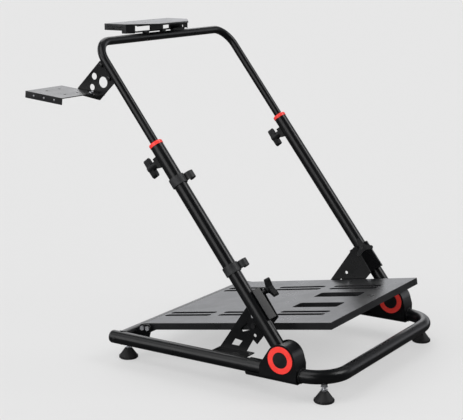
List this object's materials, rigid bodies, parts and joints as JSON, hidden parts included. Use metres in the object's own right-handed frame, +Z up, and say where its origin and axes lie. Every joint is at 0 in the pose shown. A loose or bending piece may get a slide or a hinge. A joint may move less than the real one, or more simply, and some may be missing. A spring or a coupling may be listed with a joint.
{
  "type": "folding racing wheel stand",
  "caption": "Folding stand for a game steering wheel, pedals and shifter: round-tube floor frame, leaning uprights, telescoping upper frame, slotted pedal plate.",
  "frame": {"origin": "on the floor, at the middle of the stand's footprint box", "axes": "+X to the driver's right, +Y forward away from the driver, +Z up"},
  "size_m": [0.77, 0.8391, 0.8795],
  "materials": {
    "frame_coat": "satin black powder coat",
    "plate_coat": "fine-textured satin black powder coat",
    "black_plastic": "moulded",
    "red_plastic": "semi-gloss",
    "foot_rubber": "matt",
    "zinc": "bright zinc plate"
  },
  "bodies": {
    "base": {"front_tube": "frame_coat", "rail_right": "frame_coat", "rail_left": "frame_coat", "rear_cross_tube": "frame_coat", "rail_plugs": "black_plastic", "foot_front_right": "foot_rubber", "foot_front_left": "foot_rubber", "foot_rear_right": "foot_rubber", "foot_rear_left": "foot_rubber", "foot_studs": "zinc", "hinge_housing_right": "frame_coat", "hinge_housing_left": "frame_coat", "hinge_rings_right": "red_plastic", "hinge_rings_left": "red_plastic", "hinge_pin_right": "black_plastic", "hinge_pin_left": "black_plastic", "brace_right": "frame_coat", "brace_left": "frame_coat", "clamp_cradle_right": "frame_coat", "clamp_cradle_left": "frame_coat", "clamp_knob_right": "black_plastic", "clamp_knob_left": "black_plastic", "pedal_bracket_right": "frame_coat", "pedal_bracket_left": "frame_coat", "pedal_bolts": "zinc"},
    "uprights": {"upright_right": "frame_coat", "upright_left": "frame_coat", "height_collar_right": "red_plastic", "height_collar_left": "red_plastic", "knob_boss_right": "black_plastic", "knob_boss_left": "black_plastic", "height_knob_right": "black_plastic", "height_knob_left": "black_plastic", "upright_rivets": "red_plastic", "cable_clip_upper": "black_plastic", "cable_clip_lower": "black_plastic"},
    "upper_frame": {"top_tube": "frame_coat", "wheel_bracket": "frame_coat", "wheel_plate": "plate_coat", "wheel_bolts": "zinc", "shifter_bracket": "frame_coat", "shifter_plate": "plate_coat", "shifter_bolts": "zinc", "plate_bolt_head": "zinc"},
    "pedal_plate": {"pedal_plate": "plate_coat"}
  },
  "joints": [
    {"name": "upright_fold", "type": "hinge", "parent": "base", "child": "uprights", "pos_m": [-0.053, 0.27725, 0.1013], "axis": [1, 0, 0], "range_deg": [0, 44]},
    {"name": "height_slide", "type": "slide", "parent": "uprights", "child": "upper_frame", "axis": [0, -0.6129, 0.7902], "range_m": [-0.12, 0.05]},
    {"name": "pedal_tilt", "type": "hinge", "parent": "base", "child": "pedal_plate", "pos_m": [-0.053, -0.19475, 0.084], "axis": [1, 0, 0], "range_deg": [-4, 4]}
  ]
}
